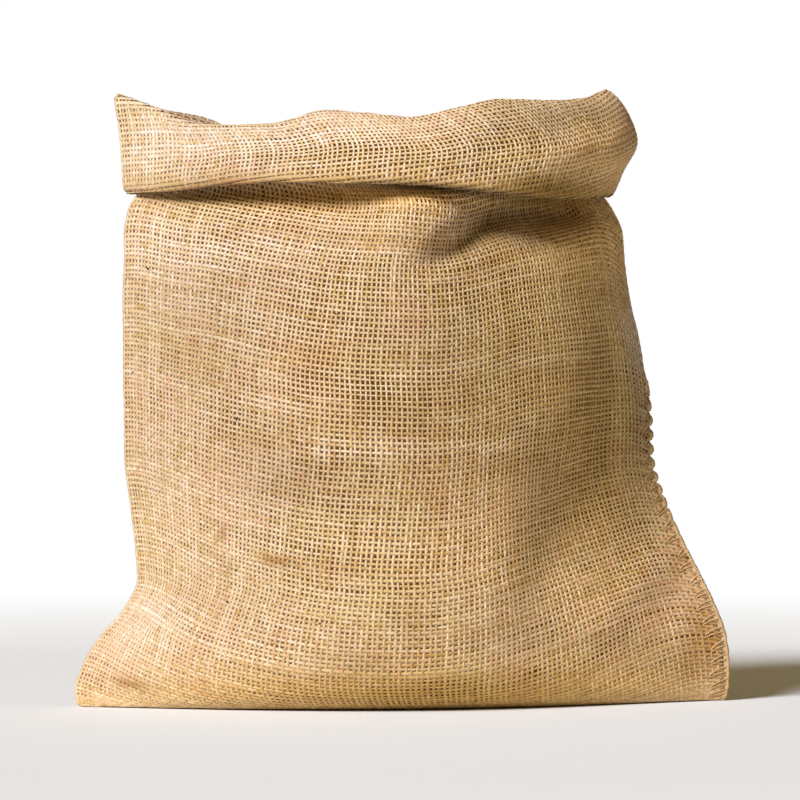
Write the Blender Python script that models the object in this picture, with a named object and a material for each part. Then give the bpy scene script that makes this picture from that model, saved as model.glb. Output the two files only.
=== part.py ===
"""Small hessian sack standing open, its mouth turned down outwards as a soft cuff.

One cloth, folded at the left side and sewn down the right side, makes one closed shell. The cloth's middle surface
is a stack of closed sections, from the seam under the base, over the floor, up the body, over the rim, down the
cuff and up again inside it as the hem. The wall is that surface thickened to both sides.

+X is the seam side, -Y the front, +Z up. The origin is on the floor under the middle of the sack's box.
"""
import bpy
import numpy as np

MM = 0.001

# Driving dimensions, in millimetres
WALL = 1.6
PANEL_STEPS = 32
SECTION_POINTS = 241
END_TAPER = 0.10
SNAP_TO_FLOOR = 0.05

# The cloth from the bottom seam to its raw edge. height: of the section. left, right: its two side points, and
# left_y, right_y where they stand. front, back: how far the cloth bows out from the line between them. peak: where
# across the bow is fullest. left_ear, right_ear: 1 for a plain bow, more for a side that is drawn flat to a fin,
# less for a blunt one. rim, edge: the share of the rim's wave and of the cuff edge's wave that the section takes.
STATION_COLUMNS = ("height", "left", "right", "left_y", "right_y", "front", "back",
                   "peak", "left_ear", "right_ear", "rim", "edge")
STATIONS = (
    # under the base, flat on the floor
    (0.0, -150.0, 150.0, -24.0, 18.0, 0.0, 0.0, 0.50, 1.10, 1.25, 0.0, 0.0),
    (0.0, -153.5, 153.0, -25.0, 19.0, 16.0, 18.0, 0.50, 1.10, 1.25, 0.0, 0.0),
    (0.0, -156.0, 155.5, -25.5, 19.5, 31.0, 33.0, 0.50, 1.10, 1.25, 0.0, 0.0),
    (0.0, -157.5, 157.0, -26.0, 20.0, 43.0, 45.0, 0.50, 1.10, 1.25, 0.0, 0.0),
    # the rounded foot and the drawn-out bottom corners
    (2.2, -159.0, 158.5, -26.0, 20.0, 52.5, 52.5, 0.50, 1.10, 1.30, 0.0, 0.0),
    (8.0, -159.7, 159.5, -25.5, 20.0, 63.5, 62.0, 0.50, 1.10, 1.42, 0.0, 0.0),
    (18.0, -156.4, 159.7, -24.0, 19.5, 73.0, 70.5, 0.50, 1.08, 1.70, 0.0, 0.0),
    (32.0, -148.9, 157.9, -20.0, 18.0, 79.5, 77.0, 0.50, 1.05, 1.95, 0.0, 0.0),
    (47.0, -136.2, 152.3, -15.5, 16.0, 83.5, 81.0, 0.50, 1.00, 1.95, 0.0, 0.0),
    # the body
    (61.0, -130.3, 145.4, -12.0, 13.5, 85.5, 83.0, 0.50, 1.00, 1.88, 0.0, 0.0),
    (80.0, -132.1, 135.6, -10.0, 11.0, 86.5, 84.5, 0.50, 1.00, 1.72, 0.0, 0.0),
    (99.0, -134.5, 127.5, -9.0, 9.0, 86.5, 85.0, 0.50, 1.00, 1.52, 0.0, 0.0),
    (119.0, -137.0, 121.7, -8.5, 7.0, 86.0, 84.7, 0.51, 1.00, 1.32, 0.0, 0.0),
    (139.0, -137.2, 120.7, -8.0, 5.0, 85.0, 83.7, 0.52, 1.00, 1.18, 0.0, 0.0),
    (158.0, -137.7, 118.4, -8.0, 5.0, 83.5, 82.0, 0.53, 1.00, 1.10, 0.0, 0.0),
    (178.0, -137.7, 115.0, -8.0, 4.0, 81.5, 79.8, 0.54, 1.00, 1.05, 0.0, 0.0),
    (198.0, -138.0, 110.4, -7.0, 4.0, 79.0, 77.0, 0.54, 1.00, 1.02, 0.0, 0.0),
    (215.0, -137.5, 108.0, -6.0, 3.0, 76.5, 74.5, 0.54, 1.00, 1.00, 0.0, 0.0),
    (229.0, -137.6, 107.0, -5.0, 3.0, 73.0, 71.0, 0.54, 1.00, 1.00, 0.0, 0.0),
    # behind the cuff, up to the rim
    (241.0, -135.4, 101.8, -4.0, 3.0, 69.0, 68.0, 0.55, 1.02, 1.00, 0.0, 0.3),
    (253.0, -127.4, 93.5, -3.0, 3.0, 66.0, 65.5, 0.56, 1.03, 0.95, 0.2, 0.3),
    (266.0, -129.0, 92.5, -2.0, 3.0, 64.0, 64.0, 0.57, 1.00, 0.90, 0.5, 0.1),
    (277.0, -133.0, 93.5, -1.0, 3.0, 63.0, 63.0, 0.58, 1.00, 0.85, 0.8, 0.0),
    (285.0, -137.2, 95.0, 0.0, 3.0, 64.0, 64.0, 0.59, 1.00, 0.80, 1.0, 0.0),
    (288.0, -141.0, 99.0, 0.0, 3.0, 68.5, 68.5, 0.60, 1.00, 0.75, 1.0, 0.0),
    # down the cuff
    (285.5, -142.8, 102.8, 0.0, 3.0, 73.0, 72.5, 0.60, 1.00, 0.70, 1.0, 0.0),
    (278.0, -141.5, 109.8, 0.0, 3.0, 77.5, 76.0, 0.61, 1.00, 0.65, 0.8, 0.1),
    (268.0, -140.0, 114.0, 0.0, 3.0, 84.0, 80.4, 0.60, 0.94, 0.62, 0.5, 0.4),
    (257.0, -138.9, 107.2, 0.0, 3.0, 88.3, 85.0, 0.59, 0.90, 0.62, 0.2, 0.8),
    (249.5, -138.3, 103.0, 0.0, 3.0, 89.4, 86.0, 0.58, 0.88, 0.65, 0.0, 1.0),
    # the turned-in hem
    (247.0, -136.6, 101.2, 0.0, 3.0, 87.4, 84.0, 0.58, 0.88, 0.67, 0.0, 1.0),
    (248.4, -134.9, 99.5, 0.0, 3.0, 84.8, 81.4, 0.58, 0.89, 0.69, 0.0, 1.0),
    (252.0, -134.2, 98.6, 0.0, 3.0, 83.2, 79.8, 0.58, 0.91, 0.72, 0.1, 0.9),
    (256.0, -134.1, 98.2, 0.0, 3.0, 82.0, 78.6, 0.58, 0.93, 0.74, 0.2, 0.8),
)

# How far the rim and the cuff's lower edge stand above their sections' heights, by the share of the way across
WAVE_COLUMNS = ("across", "front_rim", "back_rim", "front_edge", "back_edge")
WAVES = (
    (0.00, 10.0, 10.0, 2.5, 2.5),
    (0.08, 2.0, 4.0, 1.5, 1.0),
    (0.17, -7.0, 1.0, 2.0, -1.0),
    (0.25, -9.0, -5.5, 3.0, -1.0),
    (0.32, -9.0, -5.0, 3.0, 1.0),
    (0.43, -3.5, -1.0, 2.0, 2.0),
    (0.50, -4.8, -2.0, 1.5, 0.0),
    (0.60, -7.0, -4.0, 0.5, -2.0),
    (0.69, -2.5, -3.0, -1.0, -2.0),
    (0.77, 2.2, 0.0, -2.5, 0.0),
    (0.88, 3.2, 3.0, -3.5, 1.0),
    (0.95, 6.0, 7.0, -2.0, 1.0),
    (1.00, 12.0, 12.0, 1.0, 1.0),
)

# Hollows (inward is positive) and swellings of each panel: x and z of the middle, half length, half width,
# lean of the length from level, and depth
FOLD_COLUMNS = ("x", "z", "length", "width", "lean", "inward")
FRONT_FOLDS = (
    (70.0, 239.0, 29.0, 11.0, 6.0, 21.0),
    (31.0, 225.0, 24.0, 7.0, 36.0, 10.0),
    (8.0, 236.0, 27.0, 18.0, 8.0, -14.0),
    (-62.0, 246.0, 58.0, 12.0, -2.0, 8.0),
    (96.0, 140.0, 40.0, 11.0, 84.0, 6.0),
    (78.0, 92.0, 40.0, 16.0, 70.0, 7.0),
    (112.0, 56.0, 34.0, 11.0, 46.0, -3.0),
    (-118.0, 45.0, 30.0, 11.0, -48.0, -4.0),
    (-10.0, 154.0, 70.0, 5.0, 2.0, 1.3),
    (10.0, 133.0, 60.0, 5.0, -4.0, 1.2),
)
BACK_FOLDS = (
    (-45.0, 232.0, 34.0, 10.0, -8.0, 8.0),
    (-88.0, 120.0, 60.0, 16.0, 84.0, 6.0),
    (40.0, 226.0, 30.0, 12.0, 10.0, -4.0),
    (92.0, 90.0, 50.0, 15.0, -70.0, 6.0),
    (-110.0, 55.0, 34.0, 12.0, -42.0, -4.0),
)
FOLD_TOP = 262.0
FOLD_FADE = 16.0

# The last station on the floor, the rim's station, and those with a second row of the solid before the next one
FLOOR_STATION = 3
RIM_STATION = 24
SPLIT_STATIONS = (5, 8, 10, 12, 14, 16, 23, 24, 26, 28, 29, 30)

JUTE_COLOUR = (0.50, 0.34, 0.17, 1.0)
JUTE_ROUGHNESS = 0.9


def remove_objects():
    for item in list(bpy.data.objects):
        bpy.data.objects.remove(item, do_unlink=True)


def column(table, names, name):
    """One named column of a table, as an array."""
    return np.array([row[names.index(name)] for row in table], dtype=float)


def smooth(at, knots, values):
    """Values at the given places on a cubic through the knots that never overshoots them."""
    steps = np.diff(knots)
    rises = np.diff(values) / steps
    slopes = np.zeros(len(knots))
    turns = rises[:-1] * rises[1:] > 0.0
    both = np.where(turns, rises[:-1] + rises[1:], 1.0)
    slopes[1:-1] = np.where(turns, 2.0 * rises[:-1] * rises[1:] / both, 0.0)
    slopes[0] = rises[0]
    slopes[-1] = rises[-1]
    place = np.clip(np.searchsorted(knots, at, side="right") - 1, 0, len(steps) - 1)
    share = (at - knots[place]) / steps[place]
    rest = 1.0 - share
    start = values[place] * (1.0 + 2.0 * share) * rest ** 2
    end = values[place + 1] * (3.0 - 2.0 * share) * share ** 2
    bend = steps[place] * share * rest * (slopes[place] * rest - slopes[place + 1] * share)
    return start + end + bend


def station_values(levels):
    """The stations' columns at any level, where level 2.5 is halfway from station 2 to station 3."""
    knots = np.arange(len(STATIONS), dtype=float)
    return {name: smooth(levels, knots, column(STATIONS, STATION_COLUMNS, name)) for name in STATION_COLUMNS}


def fold_depth(folds, x, z):
    """Inward depth at (x, z): a soft round dent for each fold, stretched along its lean."""
    depth = np.zeros_like(x)
    for fold in folds:
        row = dict(zip(FOLD_COLUMNS, fold))
        lean = np.radians(row["lean"])
        along = ((x - row["x"]) * np.cos(lean) + (z - row["z"]) * np.sin(lean)) / row["length"]
        off = ((z - row["z"]) * np.cos(lean) - (x - row["x"]) * np.sin(lean)) / row["width"]
        depth += row["inward"] * np.exp(-along ** 2 - off ** 2)
    return depth


def panel_section(station, out, bow, folds, across):
    """Points of one panel at one level: a bow between the side points, sampled at even lengths of cloth."""
    share = 0.5 - 0.5 * np.cos(np.linspace(0.0, np.pi, SECTION_POINTS))
    peak = station["peak"]
    left_side = share < peak
    off_peak = np.where(left_side, (peak - share) / peak, (share - peak) / (1.0 - peak))
    ear = np.where(left_side, station["left_ear"], station["right_ear"])
    fullness = np.clip(1.0 - off_peak ** 2, 0.0, 1.0) ** ear
    x = station["left"] + (station["right"] - station["left"]) * share
    side_line = station["left_y"] + (station["right_y"] - station["left_y"]) * share
    taper = np.clip(np.minimum(share, 1.0 - share) / END_TAPER, 0.0, 1.0)
    height = np.full_like(x, station["height"])
    dent = fold_depth(folds, x, height) * taper * taper * (3.0 - 2.0 * taper) * station["folds"]
    y = side_line + out * (bow * fullness - dent)
    length = np.concatenate(([0.0], np.cumsum(np.hypot(np.diff(x), np.diff(y)))))
    at = across * length[-1]
    return np.interp(at, length, x), np.interp(at, length, y), np.interp(at, length, share)


def cloth_rows(levels, across):
    """Middle surface of the cloth: one closed row of points for each level, front panel first."""
    values = station_values(levels)
    fade = np.clip((FOLD_TOP - values["height"]) / FOLD_FADE, 0.0, 1.0)
    on_body = (levels > FLOOR_STATION) & (levels <= RIM_STATION)
    values["folds"] = np.where(on_body, fade, 0.0)
    knots = column(WAVES, WAVE_COLUMNS, "across")
    rows = []
    for index in range(len(levels)):
        station = {name: values[name][index] for name in values}
        panels = []
        for out, bow, folds, side in ((-1.0, station["front"], FRONT_FOLDS, "front"),
                                      (1.0, station["back"], BACK_FOLDS, "back")):
            x, y, share = panel_section(station, out, bow, folds, across)
            rim = smooth(share, knots, column(WAVES, WAVE_COLUMNS, side + "_rim"))
            edge = smooth(share, knots, column(WAVES, WAVE_COLUMNS, side + "_edge"))
            z = 0.5 * WALL + station["height"] + station["rim"] * rim + station["edge"] * edge
            panels.append(np.column_stack((x, y, z)))
        rows.append(np.concatenate((panels[0], panels[1][-2:0:-1])))
    return np.array(rows)


def cloth_normals(rows):
    """Unit normals of the middle surface, pointing out of the body, from its neighbours' differences."""
    around = np.roll(rows, -1, axis=1) - np.roll(rows, 1, axis=1)
    upward = np.gradient(rows, axis=0)
    normals = np.cross(around, upward)
    normals[0] = (0.0, 0.0, -1.0)
    length = np.linalg.norm(normals, axis=2, keepdims=True)
    return normals / length


def solid_levels():
    """Levels of the solid's rows: every station, and one more after each split station."""
    levels = []
    for station in range(len(STATIONS)):
        levels.append(float(station))
        if station in SPLIT_STATIONS:
            levels.append(station + 0.5)
    return np.array(levels)


def skin_faces(row_count, first, flip):
    """Quads of one skin; its first row is the bottom seam, whose front and back points are shared."""
    around = 2 * PANEL_STEPS
    seam = np.concatenate((np.arange(PANEL_STEPS + 1), np.arange(PANEL_STEPS - 1, 0, -1)))
    rest = PANEL_STEPS + 1 + np.arange((row_count - 1) * around).reshape(row_count - 1, around)
    grid = first + np.vstack((seam, rest))
    beside = np.roll(grid, -1, axis=1)
    quads = np.stack((grid[:-1], beside[:-1], beside[1:], grid[1:]), axis=-1).reshape(-1, 4)
    if flip:
        quads = quads[:, ::-1]
    return quads, grid[-1]


def skin_points(rows):
    """Points of one skin in the order that skin_faces uses."""
    return np.concatenate((rows[0, :PANEL_STEPS + 1], rows[1:].reshape(-1, 3)))


def jute_material():
    material = bpy.data.materials.new("jute_cloth")
    material.use_nodes = True
    shader = material.node_tree.nodes["Principled BSDF"]
    shader.inputs["Base Color"].default_value = JUTE_COLOUR
    shader.inputs["Roughness"].default_value = JUTE_ROUGHNESS
    shader.inputs["Metallic"].default_value = 0.0
    return material


def sack_cloth():
    """The whole sack as one shell: outer skin, inner skin and the strip along the raw edge."""
    across = np.linspace(0.0, 1.0, PANEL_STEPS + 1)
    rows = cloth_rows(solid_levels(), across)
    normals = cloth_normals(rows)
    outer = rows + 0.5 * WALL * normals
    inner = rows - 0.5 * WALL * normals
    outer[..., 2] = np.where(outer[..., 2] < SNAP_TO_FLOOR, 0.0, outer[..., 2])
    outer_points = skin_points(outer)
    inner_points = skin_points(inner)
    outer_quads, outer_end = skin_faces(len(rows), 0, False)
    inner_quads, inner_end = skin_faces(len(rows), len(outer_points), True)
    raw_edge = np.stack((outer_end, np.roll(outer_end, -1), np.roll(inner_end, -1), inner_end), axis=-1)
    points = np.concatenate((outer_points, inner_points)) * MM
    faces = np.concatenate((outer_quads, inner_quads, raw_edge))
    mesh = bpy.data.meshes.new("sack_cloth")
    mesh.from_pydata(points.tolist(), [], faces.tolist())
    mesh.validate()
    mesh.shade_smooth()
    mesh.materials.append(jute_material())
    cloth = bpy.data.objects.new("sack_cloth", mesh)
    bpy.context.scene.collection.objects.link(cloth)
    return cloth


def main():
    remove_objects()
    sack_cloth()


if __name__ == "__main__":
    main()
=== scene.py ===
"""Small hessian sack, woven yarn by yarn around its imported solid, and lit in a plain studio.

Every warp and weft is a closed tube that passes over and under the yarns it crosses. The yarns follow one
middle surface, which is a function of two values: the level, from the seam under the base, up the body, over
the rim, down the cuff and into the hem, and the place along the loop, from the folded side across the front
to the sewn side and back across the back. The script is run in Blender and lays its steps out as operators of
an add-on.
"""

import bpy
import numpy as np
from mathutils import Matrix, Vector


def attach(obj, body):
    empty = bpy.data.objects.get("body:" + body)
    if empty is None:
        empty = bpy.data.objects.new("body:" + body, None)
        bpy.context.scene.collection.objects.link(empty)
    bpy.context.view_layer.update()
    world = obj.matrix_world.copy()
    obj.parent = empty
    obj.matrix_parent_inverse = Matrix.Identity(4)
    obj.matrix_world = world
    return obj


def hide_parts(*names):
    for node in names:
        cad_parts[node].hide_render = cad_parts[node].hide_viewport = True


bl_info = {
    "name": "Hessian Sack",
    "version": (1, 0, 0),
    "blender": (4, 5, 0),
    "location": "3D View > Sidebar > Sack",
    "description": "Weaves a small hessian sack yarn by yarn, sews its side seam and lights it",
    "category": "Add Mesh",
}

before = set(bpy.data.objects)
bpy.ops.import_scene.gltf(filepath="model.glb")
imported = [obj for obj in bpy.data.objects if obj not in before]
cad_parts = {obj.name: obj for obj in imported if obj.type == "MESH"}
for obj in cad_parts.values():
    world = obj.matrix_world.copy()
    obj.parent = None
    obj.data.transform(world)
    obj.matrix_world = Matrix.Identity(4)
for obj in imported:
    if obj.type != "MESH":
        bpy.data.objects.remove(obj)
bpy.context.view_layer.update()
SACK_NODE = "sack_cloth"
MM = 0.001

# -----------------------------------------------------------------------------------------------------------
# The cloth's middle surface, in millimetres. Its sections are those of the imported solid.

WALL = 1.6
SECTION_POINTS = 241
END_TAPER = 0.10
LEVELS_PER_STATION = 8

# The cloth from the bottom seam to its raw edge. height: of the section. left, right: its two side points,
# and left_y, right_y where they stand. front, back: how far the cloth bows out from the line between them.
# peak: where across the bow is fullest. left_ear, right_ear: 1 for a plain bow, more for a side that is
# drawn flat to a fin, less for a blunt one. rim, edge: the share of the rim's and of the cuff edge's wave
# that it takes.
STATION_COLUMNS = ("height", "left", "right", "left_y", "right_y", "front", "back",
                   "peak", "left_ear", "right_ear", "rim", "edge")
STATIONS = (
    # under the base, flat on the floor
    (0, -150, 150, -24, 18, 0, 0, 0.5, 1.1, 1.25, 0, 0),
    (0, -153.5, 153, -25, 19, 16, 18, 0.5, 1.1, 1.25, 0, 0),
    (0, -156, 155.5, -25.5, 19.5, 31, 33, 0.5, 1.1, 1.25, 0, 0),
    (0, -157.5, 157, -26, 20, 43, 45, 0.5, 1.1, 1.25, 0, 0),
    # the rounded foot and the drawn-out bottom corners
    (2.2, -159, 158.5, -26, 20, 52.5, 52.5, 0.5, 1.1, 1.3, 0, 0),
    (8, -159.7, 159.5, -25.5, 20, 63.5, 62, 0.5, 1.1, 1.42, 0, 0),
    (18, -156.4, 159.7, -24, 19.5, 73, 70.5, 0.5, 1.08, 1.7, 0, 0),
    (32, -148.9, 157.9, -20, 18, 79.5, 77, 0.5, 1.05, 1.95, 0, 0),
    (47, -136.2, 152.3, -15.5, 16, 83.5, 81, 0.5, 1, 1.95, 0, 0),
    # the body
    (61, -130.3, 145.4, -12, 13.5, 85.5, 83, 0.5, 1, 1.88, 0, 0),
    (80, -132.1, 135.6, -10, 11, 86.5, 84.5, 0.5, 1, 1.72, 0, 0),
    (99, -134.5, 127.5, -9, 9, 86.5, 85, 0.5, 1, 1.52, 0, 0),
    (119, -137, 121.7, -8.5, 7, 86, 84.7, 0.51, 1, 1.32, 0, 0),
    (139, -137.2, 120.7, -8, 5, 85, 83.7, 0.52, 1, 1.18, 0, 0),
    (158, -137.7, 118.4, -8, 5, 83.5, 82, 0.53, 1, 1.1, 0, 0),
    (178, -137.7, 115, -8, 4, 81.5, 79.8, 0.54, 1, 1.05, 0, 0),
    (198, -138, 110.4, -7, 4, 79, 77, 0.54, 1, 1.02, 0, 0),
    (215, -137.5, 108, -6, 3, 76.5, 74.5, 0.54, 1, 1, 0, 0),
    (229, -137.6, 107, -5, 3, 73, 71, 0.54, 1, 1, 0, 0),
    # behind the cuff, up to the rim
    (241, -135.4, 101.8, -4, 3, 69, 68, 0.55, 1.02, 1, 0, 0.3),
    (253, -127.4, 93.5, -3, 3, 66, 65.5, 0.56, 1.03, 0.95, 0.2, 0.3),
    (266, -129, 92.5, -2, 3, 64, 64, 0.57, 1, 0.9, 0.5, 0.1),
    (277, -133, 93.5, -1, 3, 63, 63, 0.58, 1, 0.85, 0.8, 0),
    (285, -137.2, 95, 0, 3, 64, 64, 0.59, 1, 0.8, 1, 0),
    (288, -141, 99, 0, 3, 68.5, 68.5, 0.6, 1, 0.75, 1, 0),
    # down the cuff
    (285.5, -142.8, 102.8, 0, 3, 73, 72.5, 0.6, 1, 0.7, 1, 0),
    (278, -141.5, 109.8, 0, 3, 77.5, 76, 0.61, 1, 0.65, 0.8, 0.1),
    (268, -140, 114, 0, 3, 84, 80.4, 0.6, 0.94, 0.62, 0.5, 0.4),
    (257, -138.9, 107.2, 0, 3, 88.3, 85, 0.59, 0.9, 0.62, 0.2, 0.8),
    (249.5, -138.3, 103, 0, 3, 89.4, 86, 0.58, 0.88, 0.65, 0, 1),
    # the turned-in hem
    (247, -136.6, 101.2, 0, 3, 87.4, 84, 0.58, 0.88, 0.67, 0, 1),
    (248.4, -134.9, 99.5, 0, 3, 84.8, 81.4, 0.58, 0.89, 0.69, 0, 1),
    (252, -134.2, 98.6, 0, 3, 83.2, 79.8, 0.58, 0.91, 0.72, 0.1, 0.9),
    (256, -134.1, 98.2, 0, 3, 82, 78.6, 0.58, 0.93, 0.74, 0.2, 0.8),
)

# The base's last station, the rim's, and those between which the cuff is creased; and the levels, which are
# the stations and even steps between them
FLOOR_STATION = 3
RIM_STATION = 24
CUFF_STATION = 25
HEM_STATION = 29
LEVELS = np.linspace(0.0, len(STATIONS) - 1.0, (len(STATIONS) - 1) * LEVELS_PER_STATION + 1)

# How far the rim and the cuff's lower edge stand above their sections' heights, by the share of the way
# across
WAVE_COLUMNS = ("across", "front_rim", "back_rim", "front_edge", "back_edge")
WAVES = (
    (0, 10, 10, 2.5, 2.5),
    (0.08, 2, 4, 1.5, 1),
    (0.17, -7, 1, 2, -1),
    (0.25, -9, -5.5, 3, -1),
    (0.32, -9, -5, 3, 1),
    (0.43, -3.5, -1, 2, 2),
    (0.5, -4.8, -2, 1.5, 0),
    (0.6, -7, -4, 0.5, -2),
    (0.69, -2.5, -3, -1, -2),
    (0.77, 2.2, 0, -2.5, 0),
    (0.88, 3.2, 3, -3.5, 1),
    (0.95, 6, 7, -2, 1),
    (1, 12, 12, 1, 1),
)

# Hollows (inward is positive) and swellings of each panel: x and z of the middle, half length, half width,
# lean of the length from level, and depth
FOLD_COLUMNS = ("x", "z", "length", "width", "lean", "inward")
BODY_FOLDS = {
    "front": (
        (70, 239, 29, 11, 6, 21),
        (31, 225, 24, 7, 36, 10),
        (8, 236, 27, 18, 8, -14),
        (-62, 246, 58, 12, -2, 8),
        (96, 140, 40, 11, 84, 6),
        (78, 92, 40, 16, 70, 7),
        (112, 56, 34, 11, 46, -3),
        (-118, 45, 30, 11, -48, -4),
        (-10, 154, 70, 5, 2, 1.3),
        (10, 133, 60, 5, -4, 1.2),
    ),
    "back": (
        (-45, 232, 34, 10, -8, 8),
        (-88, 120, 60, 16, 84, 6),
        (40, 226, 30, 12, 10, -4),
        (92, 90, 50, 15, -70, 6),
        (-110, 55, 34, 12, -42, -4),
    ),
}
CUFF_FOLDS = {
    "front": (
        (76, 277, 15, 6, -32, 3.5),
        (90, 262, 13, 6, 62, 2.5),
        (44, 270, 20, 7, 55, 1.8),
        (-52, 272, 22, 8, -38, 1.8),
        (-100, 268, 18, 7, -48, 2.2),
        (0, 258, 36, 6, -3, -1.5),
    ),
    "back": (
        (60, 270, 18, 7, 50, 3),
        (-20, 268, 22, 8, -30, 2.5),
        (-90, 266, 18, 7, 55, 3),
    ),
}
FOLD_TOP = 262.0
FOLD_FADE = 16.0

# Cloth that is eased in on the body, in millimetres more than the surface is long from the bottom seam: it
# sets how the rows of the weave run. One line for each level, one column for each share of the way across;
# both panels alike.
GATHER_ACROSS = (0, 0.08, 0.2, 0.35, 0.5, 0.65, 0.8, 0.92, 1)
GATHER_LEVELS = (3, 5, 7, 8, 9, 10.5, 12, 14, 16, 18.5)
GATHER = (
    (0, 0, 0, 0, 0, 0, 0, 0, 0),
    (6.5, 5.5, 2.5, -1.5, -3.5, 0.5, 6.5, 9.5, 10),
    (10.5, 10, 6.5, 1.5, -1.5, 1.5, 9.5, 15, 17.5),
    (12.5, 11.5, 7.5, 3.5, 1, 3, 10.5, 17, 21),
    (16, 14, 9.5, 5, 2, 4.5, 13, 20, 23),
    (19, 16.5, 12.5, 6.5, 2, 6, 17, 25, 26),
    (21, 19.5, 13.5, 7, 2.5, 6.5, 19, 30, 34),
    (23, 22, 14, 7.5, 3, 7, 19, 34, 40),
    (27, 25, 15.5, 8.5, 4, 8.5, 21, 34, 42),
    (29, 27, 18, 11, 6.5, 11, 22, 33, 41),
)

# The cloth from the bottom seam to the cuff's lower edge, at the same shares: the rows of the cuff keep step
# with it
CUFF_EDGE = {
    "front": (385, 386, 387.5, 391.5, 397.5, 407.5, 417.5, 425, 429.5),
    "back": (385, 387, 391, 397, 403, 409, 417, 424, 429.5),
}
CUFF_EDGE_LEVEL = 29.75
CUFF_LEVELS = (24.0, 33.0)

# How far the front's middle warp stands off the middle, at these levels, as a share of the way across
DRIFT_LEVELS = (0, 3, 4, 5, 6, 7, 8, 9, 10, 11, 12, 14, 16, 18, 24, 29.75, 33)
DRIFT = (
    0, -0.03, -0.045, -0.052, -0.057, -0.061, -0.068, -0.063, -0.04, -0.018, 0, 0.004, 0.018, 0.022, 0,
    0.035, 0.04,
)

# How far the front's warps left of the middle stand to the right below the cuff, as a share of the way
# across: most at the share LEAN_AT, and less over the share LEAN_REACH to each side
LEAN_LEVELS = (0, 14, 15, 16, 17, 18, 19, 23, 24, 33)
LEAN = (0, 0, 0.004, 0.014, 0.024, 0.03, 0.032, 0.006, 0, 0)
LEAN_AT = 0.33
LEAN_REACH = 0.17


def smooth(at, knots, values):
    """Values on a cubic through the knots that never overshoots them.

    Each knot's slope is the harmonic mean of the rises beside it, or nought where they differ in sign. The
    values have the knots along their first axis, and in the result the places stand there instead.
    """
    knots = np.asarray(knots, dtype=float)
    values = np.asarray(values, dtype=float)
    wide = (-1,) + (1,) * (values.ndim - 1)
    steps = np.diff(knots).reshape(wide)
    rises = np.diff(values, axis=0) / steps
    slopes = np.zeros_like(values)
    turns = rises[:-1] * rises[1:] > 0.0
    both = np.where(turns, rises[:-1] + rises[1:], 1.0)
    slopes[1:-1] = np.where(turns, 2.0 * rises[:-1] * rises[1:] / both, 0.0)
    slopes[0] = rises[0]
    slopes[-1] = rises[-1]
    at = np.asarray(at, dtype=float)
    place = np.clip(np.searchsorted(knots, at, side="right") - 1, 0, len(knots) - 2)
    step = np.diff(knots)[place]
    share = (at - knots[place]) / step
    spread = at.shape + (1,) * (values.ndim - 1)
    step, share = step.reshape(spread), share.reshape(spread)
    rest = 1.0 - share
    start = values[place] * (1.0 + 2.0 * share) * rest ** 2
    end = values[place + 1] * (3.0 - 2.0 * share) * share ** 2
    bend = step * share * rest * (slopes[place] * rest - slopes[place + 1] * share)
    return start + end + bend


def interpolate_each(at, knots, values):
    """Linear interpolation of every line by its own knots: the lines are set end to end and done as one."""
    gap = 1.0 + max(knots.max(), at.max()) - min(knots.min(), at.min())
    shift = gap * np.arange(len(knots))[:, None]
    return np.interp((at + shift).ravel(), (knots + shift).ravel(), values.ravel()).reshape(at.shape)


def unit(vectors):
    """The vectors over their own lengths."""
    return vectors / np.maximum(np.linalg.norm(vectors, axis=-1, keepdims=True), 1e-12)


def spot_field(rows, names, x, z, strength):
    """The sum over the rows of strength times exp(-distance squared), distances in each row's own radii."""
    field = np.zeros_like(x)
    for line in rows:
        row = dict(zip(names, line))
        lean = np.radians(row.get("lean", 0.0))
        right, up = x - row["x"], z - row["z"]
        along = (right * np.cos(lean) + up * np.sin(lean)) / row.get("length", row.get("radius"))
        off = (up * np.cos(lean) - right * np.sin(lean)) / row.get("width", row.get("radius"))
        field += row[strength] * np.exp(-along ** 2 - off ** 2)
    return field


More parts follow.
